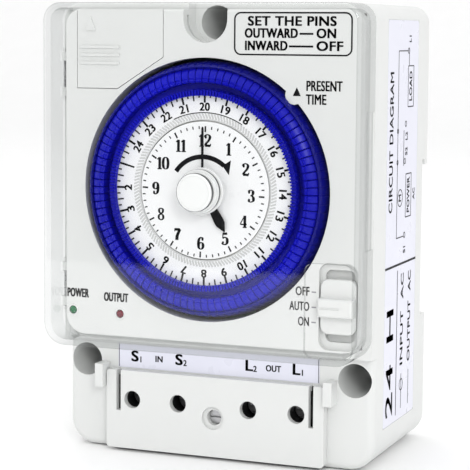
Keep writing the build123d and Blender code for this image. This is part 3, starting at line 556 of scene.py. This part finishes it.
def make_serrated_band():
    """The ring of fine slanted teeth between the two dials, drawn as flat pale grey slanted marks that are
    painted shade of the teeth, with a thin pale grey circle inside them.
    """
    data = bmesh.new()
    count = 144
    for i in range(count):
        angle = 360 * i / count
        bar(data, polar(15.85, angle), polar(17.0, angle + 2.0), 0.36, dial_face - 0.1, dial_face)
    arc_band(data, (dial_x, dial_z), 15.55, 15.72, 0, 360, dial_face - 0.1, dial_face, 144)
    add_piece("serrated_band", data, teeth_shade_grey, "dial", False)


make_day_marks()
make_day_numbers()
make_serrated_band()

# ---- 12-hour clock face print ---------------------------------------------------------------
number_radius = 11.4
clock_middle = (dial_x - 0.35, dial_z - 0.35)
clock_turn = 2.2


def clock_polar(radius, angle):
    """X and Z on the clock print, whose middle and upright are a little off the dial's."""
    turn = math.radians(angle - clock_turn)
    return clock_middle[0] + radius * math.cos(turn), clock_middle[1] + radius * math.sin(turn)


def make_clock_marks():
    """Minute marks round the clock face."""
    data = bmesh.new()
    for i in range(60):
        angle = 90 - 6 * i
        inner, width = (13.25, 0.36) if i % 5 == 0 else (13.9, 0.25)
        bar(data, clock_polar(inner, angle), clock_polar(14.55, angle), width, dial_face - ink,
            dial_face)
    add_piece("minute_marks", data, print_black, "housing", False)


# Each figure is a set of pen strokes in a box one unit high. A stroke is (thick, thin, points),
# and a dot is a round end with its radius.
pen_weight = 1.35
figure_width = {"1": 0.46}
figure_strokes = {
    "0": [(0.17, 0.05, ((0.31, 0.97), (0.14, 0.84), (0.09, 0.5), (0.14, 0.16), (0.31, 0.03),
                        (0.48, 0.16), (0.53, 0.5), (0.48, 0.84), (0.31, 0.97)))],
    "1": [(0.17, 0.17, ((0.25, 0.97), (0.25, 0.5), (0.25, 0.03))),
          (0.06, 0.06, ((0.05, 0.03), (0.25, 0.03), (0.45, 0.03))),
          (0.1, 0.07, ((0.04, 0.8), (0.14, 0.86), (0.25, 0.96)))],
    "2": [(0.17, 0.06, ((0.1, 0.76), (0.15, 0.91), (0.31, 0.97), (0.47, 0.88), (0.5, 0.72),
                        (0.4, 0.5), (0.2, 0.28), (0.09, 0.08))),
          (0.14, 0.14, ((0.09, 0.08), (0.3, 0.09), (0.53, 0.07))),
          (0.07, 0.07, ((0.53, 0.05), (0.55, 0.14), (0.57, 0.24)))],
    "3": [(0.17, 0.06, ((0.11, 0.82), (0.19, 0.94), (0.32, 0.97), (0.46, 0.88), (0.47, 0.7),
                        (0.38, 0.57), (0.25, 0.53))),
          (0.18, 0.06, ((0.25, 0.53), (0.42, 0.48), (0.51, 0.33), (0.49, 0.14), (0.32, 0.03),
                        (0.17, 0.06), (0.1, 0.18)))],
    "4": [(0.06, 0.06, ((0.41, 0.96), (0.22, 0.62), (0.04, 0.29))),
          (0.08, 0.08, ((0.04, 0.27), (0.3, 0.27), (0.59, 0.27))),
          (0.17, 0.17, ((0.43, 0.97), (0.43, 0.5), (0.43, 0.03))),
          (0.06, 0.06, ((0.26, 0.03), (0.43, 0.03), (0.59, 0.03)))],
    "5": [(0.14, 0.14, ((0.14, 0.91), (0.3, 0.9), (0.5, 0.93))),
          (0.06, 0.06, ((0.14, 0.95), (0.13, 0.75), (0.12, 0.53))),
          (0.18, 0.06, ((0.12, 0.53), (0.3, 0.62), (0.47, 0.52), (0.51, 0.32), (0.46, 0.13),
                        (0.3, 0.03), (0.16, 0.06), (0.1, 0.18)))],
    "6": [(0.17, 0.06, ((0.48, 0.84), (0.42, 0.94), (0.31, 0.97), (0.16, 0.83), (0.1, 0.5),
                        (0.14, 0.15), (0.31, 0.03), (0.46, 0.13), (0.51, 0.32), (0.45, 0.5),
                        (0.31, 0.56), (0.16, 0.46), (0.13, 0.34)))],
    "7": [(0.15, 0.15, ((0.1, 0.9), (0.3, 0.89), (0.53, 0.9))),
          (0.06, 0.06, ((0.08, 0.97), (0.08, 0.86), (0.07, 0.72))),
          (0.2, 0.06, ((0.54, 0.92), (0.38, 0.6), (0.28, 0.34), (0.26, 0.03)))],
    "8": [(0.14, 0.06, ((0.31, 0.97), (0.15, 0.88), (0.16, 0.68), (0.31, 0.53), (0.48, 0.4),
                        (0.5, 0.16), (0.31, 0.03), (0.12, 0.16), (0.14, 0.4), (0.31, 0.53),
                        (0.46, 0.68), (0.47, 0.88), (0.31, 0.97)))],
}
figure_dots = {"2": ((0.14, 0.74, 0.09),), "3": ((0.14, 0.78, 0.09), (0.14, 0.2, 0.09)),
               "5": ((0.14, 0.2, 0.09),), "6": ((0.46, 0.8, 0.09),)}


def smooth_path(points, steps=5):
    """A Catmull-Rom curve through the points of a stroke."""
    loop = points[0] == points[-1]
    before = points[-2] if loop else points[0]
    after = points[1] if loop else points[-1]
    knots = [Vector(p) for p in (before, *points, after)]
    path = []
    for a, b, c, d in zip(knots, knots[1:], knots[2:], knots[3:]):
        for i in range(steps):
            t = i / steps
            path.append(0.5 * (2 * b + (c - a) * t + (2 * a - 5 * b + 4 * c - d) * t * t
                               + (3 * b - a - 3 * c + d) * t ** 3))
    return path + [knots[-2]]


def pen_stroke(mesh_data, path, thick, thin, put):
    """Add a stroke that is thick where it runs upright and thin where it runs level."""
    sides = []
    for i, point in enumerate(path):
        along = (path[min(i + 1, len(path) - 1)] - path[max(i - 1, 0)]).normalized()
        half_width = (thin + (thick - thin) * along.y ** 2) / 2 * pen_weight
        across = Vector((-along.y, along.x)) * half_width
        sides.append((point + across, point - across))
    for (a, b), (c, d) in zip(sides, sides[1:]):
        prism(mesh_data, [put(p) for p in (a, b, d, c)], dial_face - ink, dial_face)


def serif_figure(mesh_data, figure, left, base, tall):
    """Add one upright serif figure with its lower left corner at a point."""
    flipped = figure == "9"
    source = "6" if flipped else figure

    def put(point):
        x, z = (0.62 - point[0], 1 - point[1]) if flipped else (point[0], point[1])
        return left + x * tall, base + z * tall

    for thick, thin, points in figure_strokes[source]:
        pen_stroke(mesh_data, smooth_path(points), thick, thin, put)
    for x, z, radius in figure_dots.get(source, ()):
        ring = [put((x + radius * math.cos(a * math.pi / 6), z + radius * math.sin(a * math.pi / 6)))
                for a in range(12)]
        prism(mesh_data, ring, dial_face - ink, dial_face)


def make_clock_numbers():
    """The numbers 1 to 12, upright, in serif figures."""
    data = bmesh.new()
    tall = 2.75
    for number in range(1, 13):
        x, z = clock_polar(number_radius, 90 - 30 * number)
        widths = [figure_width.get(c, 0.6) * tall for c in str(number)]
        left = x - sum(widths) / 2
        for figure, wide in zip(str(number), widths):
            serif_figure(data, figure, left, z - tall / 2, tall)
            left += wide
    add_piece("clock_numbers", data, print_black, "housing", False)


def make_turn_arrow():
    """The curved arrow that shows which way to turn the knob."""
    data = bmesh.new()
    arc_band(data, clock_middle, 7.25, 8.3, 50, 145.8, dial_face - ink, dial_face)
    head = [(dial_x + 6.28, dial_z + 6.87), (dial_x + 5.83, dial_z + 3.6),
            (dial_x + 4.28, dial_z + 5.6)]
    prism(data, head, dial_face - ink, dial_face)
    add_piece("turn_arrow", data, print_black, "housing", False)


make_clock_marks()
make_clock_numbers()
make_turn_arrow()


# ---- knob -----------------------------------------------------------------------------------
def make_knob():
    """The setting knob: a cap on two stepped rings and a flange, with grooves between them; the rings'
    walls carry dark bands of painted reflection.
    """
    data = bmesh.new()
    profile = ((0.01, 1.84), (3.5, 1.86), (3.54, 1.96), (3.66, 1.96), (3.7, 1.86), (3.95, 1.94),
               (4.15, 2.2), (4.2, 2.5), (4.22, 3.25), (3.95, 3.3), (3.95, 3.46), (4.45, 3.5),
               (4.52, 3.6), (4.52, 4.3), (4.2, 4.34), (4.2, 4.5), (4.8, 4.55), (4.88, 4.65),
               (4.88, 5.45), (4.55, 5.5), (4.55, 5.64), (5.15, 5.68), (5.25, 5.8), (5.25, 6.4),
               (0.01, 6.4))
    disc_lathe(data, profile, (dial_x, dial_z), 128)
    knob = add_piece("knob_cap", data, slot_materials["knob"], "minutes")
    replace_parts(knob, "setting_knob")
    # Dark bands round the two ring walls: painted reflection.
    walls = bmesh.new()
    for radius, front, back in ((4.22, 2.25, 3.2), (4.88, 4.66, 5.45)):
        lathe(walls, ((radius - 0.1, front), (radius + 0.03, front + 0.04),
                      (radius + 0.03, back - 0.04), (radius - 0.1, back)), (dial_x, dial_z), 128)
    add_piece("knob_walls_painted_reflection", walls, knob_reflection_dark, "minutes")


make_knob()


# ---- hands ----------------------------------------------------------------------------------
def blade(mesh_data, angle, stations, front, back, ridge):
    """Add a hand that runs out along an angle, with a ridge down its middle."""
    turn = math.radians(angle)
    outwards = Vector((math.cos(turn), math.sin(turn)))
    across = Vector((-outwards.y, outwards.x))
    rows = []
    for radius, half_width in stations:
        row = []
        for offset, depth in ((-half_width, back), (-half_width, front + ridge), (0, front),
                              (half_width, front + ridge), (half_width, back)):
            point = outwards * radius + across * offset
            row.append(mesh_data.verts.new(place(dial_x + point.x, dial_z + point.y, depth)))
        rows.append(row)
    for here, after in zip(rows, rows[1:]):
        for k in range(5):
            m = (k + 1) % 5
            mesh_data.faces.new((here[k], here[m], after[m], after[k]))
    mesh_data.faces.new(rows[0])
    mesh_data.faces.new(rows[-1][::-1])


def make_hands():
    """The sword-shaped hour hand and the straight minute hand, each on its hub."""
    hour = bmesh.new()
    lathe(hour, ((1.5, 7.5), (1.5, 7.24), (1.56, 7.2), (2.22, 7.2), (2.3, 7.26), (2.3, 7.5)),
          (dial_x, dial_z), 64)
    blade(hour, -60, ((2.1, 0.8), (4.6, 0.9), (7.6, 1.12), (8.4, 1.05), (9.2, 0.6), (10.3, 0.04)),
          7.14, 7.5, 0.08)
    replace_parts(add_piece("hour_hand_blade", hour, print_black, "hours"), "hour_hand")
    minute = bmesh.new()
    lathe(minute, ((0.9, 6.9), (0.9, 6.74), (0.95, 6.7), (1.94, 6.7), (2.0, 6.75), (2.0, 6.9)),
          (dial_x, dial_z), 64)
    blade(minute, 90, ((1.8, 0.26), (8.0, 0.26), (13.7, 0.24), (14.1, 0.12)), 6.66, 6.9, 0.06)
    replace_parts(add_piece("minute_hand_blade", minute, print_black, "minutes"),
                "minute_hand")


make_hands()


# ---- panel print ----------------------------------------------------------------------------
face = panel_depth


def make_panel_print():
    """The frame, words and marks printed on the front panel."""
    data = bmesh.new()
    frame_line(data, (5.7, 32.7), (90.7, 100.05), 1.6, 0.34, face - ink, face)
    lines = (("SET THE PINS", 19.2, 98.0), ("OUTWARD", 8.2, 95.4), ("INWARD", 8.2, 92.7))
    letter(data, lines[0][0], front_matrix(19.0, lines[0][2], face), 1.95, 20.0, 0.13)
    for (text, x, z), width in zip(lines[1:], (12.0, 9.6)):
        letter(data, text, front_matrix(x, z, face), 1.95, width, 0.13, "LEFT")
    for text, z, width in (("ON", 95.4, 4.2), ("OFF", 92.7, 5.8)):
        letter(data, text, front_matrix(24.6, z, face), 1.95, width, 0.13, "LEFT")
    bar(data, (20.8, 95.4), (23.9, 95.4), 0.42, face - ink, face)
    bar(data, (18.4, 92.7), (23.9, 92.7), 0.42, face - ink, face)
    prism(data, ((20.3, 84.0), (19.4, 82.1), (21.2, 82.1)), face - ink, face)
    letter(data, "PRESENT", front_matrix(22.4, 84.2, face), 2.1, 8.0, 0.09, "LEFT")
    letter(data, "TIME", front_matrix(22.4, 81.3, face), 2.1, 4.5, 0.09, "LEFT")
    letter(data, "POWER", front_matrix(-32.2, 36.2, face), 1.9, 5.3, 0.12)
    letter(data, "OUTPUT", front_matrix(-22.6, 35.7, face), 1.9, 5.9, 0.12)
    add_piece("panel_print", data, print_black, "housing", False)
    grey = bmesh.new()
    for text, z, width in (("OFF", 39.9, 3.1), ("AUTO", 36.6, 4.5), ("ON", 33.3, 2.4)):
        letter(grey, text, front_matrix(23.7, z, face), 1.9, width, 0.05, "RIGHT")
        bar(grey, (24.2, z), (25.2, z), 0.3, face - ink, face)
    add_piece("switch_print", grey, print_grey, "housing", False)


def make_lamp_rims():
    """Moulded collars round the two lamps."""
    data = bmesh.new()
    for name in ("power_led", "output_led"):
        low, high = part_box(name)
        centre = ((low.x + high.x) / 2 / MM, (low.z + high.z) / 2 / MM)
        profile = ((0.96, face + 0.2), (0.96, face - 0.1), (1.05, face - 0.16), (1.25, face - 0.16),
                   (1.4, face - 0.05), (1.42, face + 0.2))
        lathe(data, profile, centre, 48)
    add_piece("lamp_rims", data, slot_materials["housing"], "housing")


make_panel_print()
make_lamp_rims()


# ---- terminal label print -------------------------------------------------------------------
def make_terminal_print():
    """The terminal names and border lines of the label above the terminal cover."""
    data = bmesh.new()
    top = label_depth
    words = (("S", "1", -19.9), ("S", "2", -8.9), ("L", "2", 8.1), ("L", "1", 19.3))
    for capital, index, x in words:
        letter(data, capital, front_matrix(x - 0.35, 21.5, top), 2.35, 1.6, 0.15)
        letter(data, index, front_matrix(x + 1.15, 20.9, top), 1.3, None, 0.06)
    for text, x, width in (("IN", -14.2, 1.7), ("OUT", 13.6, 3.5)):
        letter(data, text, front_matrix(x, 21.3, top), 1.35, width, 0.07)
    for x in (-24.2, 24.2):
        bar(data, (x, 19.0), (x, 24.3), 0.12, top - ink, top)
    add_piece("terminal_print", data, print_black, "housing", False)


make_terminal_print()


# ---- side label print -----------------------------------------------------------------------
def side_bar(data, start, end, width=0.22):
    """Add a printed line on the side label between two (y, z) points."""
    direction = Vector((end[0] - start[0], end[1] - start[1])).normalized()
    reach = Vector((-direction.y, direction.x)) * width / 2
    corners = ((start[0] + reach.x, start[1] + reach.y), (start[0] - reach.x, start[1] - reach.y),
               (end[0] - reach.x, end[1] - reach.y), (end[0] + reach.x, end[1] + reach.y))
    near = [data.verts.new(Vector(((side_x + ink) * MM, y * MM, z * MM))) for y, z in corners]
    far = [data.verts.new(Vector((side_x * MM, y * MM, z * MM))) for y, z in corners]
    data.faces.new(near)
    data.faces.new(far[::-1])
    for i in range(4):
        j = (i + 1) % 4
        data.faces.new((near[i], near[j], far[j], far[i]))


def side_ring(data, y, z, radius, width=0.22, steps=24):
    """Add a printed circle on the side label."""
    for i in range(steps):
        first, second = (2 * math.pi * (i + k) / steps for k in (0, 1.02))
        side_bar(data, (y + radius * math.cos(first), z + radius * math.sin(first)),
                 (y + radius * math.cos(second), z + radius * math.sin(second)), width)


def side_box(data, y_span, z_span):
    """Add a printed rectangle on the side label."""
    corners = ((y_span[0], z_span[0]), (y_span[1], z_span[0]), (y_span[1], z_span[1]),
               (y_span[0], z_span[1]))
    for i in range(4):
        side_bar(data, corners[i], corners[(i + 1) % 4])


def make_side_print():
    """A plain switching diagram in the upper part, and two ruled entries in the lower part."""
    data = bmesh.new()
    letter(data, "CIRCUIT DIAGRAM", side_matrix(-3.6, 71.7), 2.6, 31.0, 0.05)
    side_bar(data, (1.2, 50.0), (1.2, 91.8))
    side_bar(data, (1.2, 91.8), (8.6, 91.8))
    side_bar(data, (1.2, 50.0), (6.6, 50.0))
    side_bar(data, (9.4, 92.4), (9.4, 88.6))
    side_bar(data, (6.0, 66.0), (6.0, 74.0))
    side_ring(data, 1.2, 67.0, 0.5)
    side_ring(data, 1.2, 74.0, 0.5)
    side_ring(data, 3.6, 58.9, 1.9)
    letter(data, "M", side_matrix(3.6, 58.9), 1.8, None, 0.05)
    for y, z in ((9.0, 91.8), (7.4, 75.4), (7.0, 67.0), (7.4, 50.2)):
        side_ring(data, y, z, 0.6)
    side_box(data, (8.8, 13.2), (79.2, 88.4))
    letter(data, "LOAD", side_matrix(11.0, 83.8), 2.0, 6.6, 0.05)
    side_box(data, (8.0, 12.4), (54.2, 64.0))
    letter(data, "POWER", side_matrix(10.2, 59.1), 1.9, 8.0, 0.05)
    for text, y, z in (("L1", 10.2, 94.6), ("L2", 8.2, 72.6), ("S2", 8.2, 69.2), ("S1", 7.6, 47.0)):
        letter(data, text, side_matrix(y, z), 1.5, None, 0.04)
    letter(data, "AC", side_matrix(14.6, 59.1), 1.5, None, 0.03)
    side_bar(data, (-7.0, 43.9), (17.0, 43.9), 0.5)
    letter(data, "24 H", side_matrix(-2.4, 22.5), 5.0, 24.0, 0.14)
    side_bar(data, (2.6, 9.6), (2.6, 42.6), 0.3)
    for y, text in ((6.6, "INPUT  AC"), (12.4, "OUTPUT  AC")):
        letter(data, text, side_matrix(y, 31.0), 2.0, 21.0, 0.05)
        side_bar(data, (y, 10.5), (y, 18.5), 0.2)
    side_ring(data, 6.6, 16.0, 1.3)
    add_piece("side_print", data, print_black, "housing", False)


make_side_print()


# ---- stage, lights and camera ---------------------------------------------------------------
def make_stage():
    """A pale floor that curves up into a pale backdrop."""
    data = bmesh.new()
    rows = []
    profile = [(-0.33, 0.0), (1.2, 0.0)]
    for i in range(1, 13):
        angle = math.radians(90 * i / 12)
        profile.append((1.2 + 0.6 * math.sin(angle), 0.6 * (1 - math.cos(angle))))
    profile.append((1.8, 3.0))
    for y, z in profile:
        rows.append([data.verts.new(Vector((x, y, z - 0.0002))) for x in (-4.0, 4.0)])
    for here, after in zip(rows, rows[1:]):
        data.faces.new((here[0], here[1], after[1], after[0]))
    mesh = bpy.data.meshes.new("studio_sweep")
    data.to_mesh(mesh)
    data.free()
    mesh.shade_smooth()
    floor = bpy.data.objects.new("studio_sweep", mesh)
    bpy.context.scene.collection.objects.link(floor)
    mesh.materials.append(moulded("sweep_white", (0.93, 0.93, 0.93), 0.7, 300.0, 0.02, 0.01))


def add_area(name, location, target, size, power, colour=(1, 1, 1)):
    """A soft square lamp aimed at a point."""
    data = bpy.data.lights.new(name, "AREA")
    data.shape = "SQUARE"
    data.size = size
    data.energy = power
    data.color = colour
    lamp = bpy.data.objects.new(name, data)
    lamp.location = location
    lamp.rotation_euler = (Vector(target) - Vector(location)).to_track_quat("-Z", "Y").to_euler()
    bpy.context.scene.collection.objects.link(lamp)


def set_world():
    """An even white surround, except that a mirror sees a dim room straight in front."""
    world = bpy.data.worlds.new("studio")
    world.use_nodes = True
    tree = world.node_tree
    bright = tree.nodes["Background"]
    bright.inputs["Color"].default_value = (1, 1, 1, 1)
    bright.inputs["Strength"].default_value = 1.05
    dim = tree.nodes.new("ShaderNodeBackground")
    dim.inputs["Color"].default_value = (1, 1, 1, 1)
    dim.inputs["Strength"].default_value = 0.03
    path = tree.nodes.new("ShaderNodeLightPath")
    mix = tree.nodes.new("ShaderNodeMixShader")
    view = tree.nodes.new("ShaderNodeTexCoord")
    parts = tree.nodes.new("ShaderNodeSeparateXYZ")
    ahead = tree.nodes.new("ShaderNodeMath")
    ahead.operation = "LESS_THAN"
    ahead.inputs[1].default_value = -0.8
    both = tree.nodes.new("ShaderNodeMath")
    both.operation = "MULTIPLY"
    tree.links.new(view.outputs["Generated"], parts.inputs["Vector"])
    tree.links.new(parts.outputs["Y"], ahead.inputs[0])
    tree.links.new(ahead.outputs["Value"], both.inputs[0])
    tree.links.new(path.outputs["Is Glossy Ray"], both.inputs[1])
    tree.links.new(both.outputs["Value"], mix.inputs["Fac"])
    tree.links.new(bright.outputs["Background"], mix.inputs[1])
    tree.links.new(dim.outputs["Background"], mix.inputs[2])
    tree.links.new(mix.outputs["Shader"], tree.nodes["World Output"].inputs["Surface"])
    bpy.context.scene.world = world


def set_camera():
    """The camera, from right of the front and a little above, as a fitted perspective."""
    data = bpy.data.cameras.new("camera")
    data.sensor_width = 36.0
    data.lens = 132.02
    data.shift_x = 0.0009
    data.shift_y = -0.085
    data.clip_start = 0.05
    camera = bpy.data.objects.new("camera", data)
    yaw, pitch, roll = (math.radians(a) for a in (21.778, 5.293, 0.411))
    forward = Vector((-math.sin(yaw) * math.cos(pitch), math.cos(yaw) * math.cos(pitch),
                      -math.sin(pitch)))
    level = Vector((math.cos(yaw), math.sin(yaw), 0))
    upright = level.cross(forward)
    right = math.cos(roll) * level + math.sin(roll) * upright
    up = -math.sin(roll) * level + math.cos(roll) * upright
    turn = Matrix((right, up, -forward)).transposed()
    camera.matrix_world = Matrix.Translation(Vector((0.14534, -0.36753, 0.09497))) @ turn.to_4x4()
    bpy.context.scene.collection.objects.link(camera)
    bpy.context.scene.camera = camera


make_stage()
set_world()
set_camera()
middle = (0, 0, 0.05)
add_area("key", (0.5, -0.75, 0.42), middle, 0.25, 2.4)
add_area("top", (-0.2, 0.1, 1.0), middle, 0.6, 1.5)
bpy.context.scene.view_settings.view_transform = "Standard"
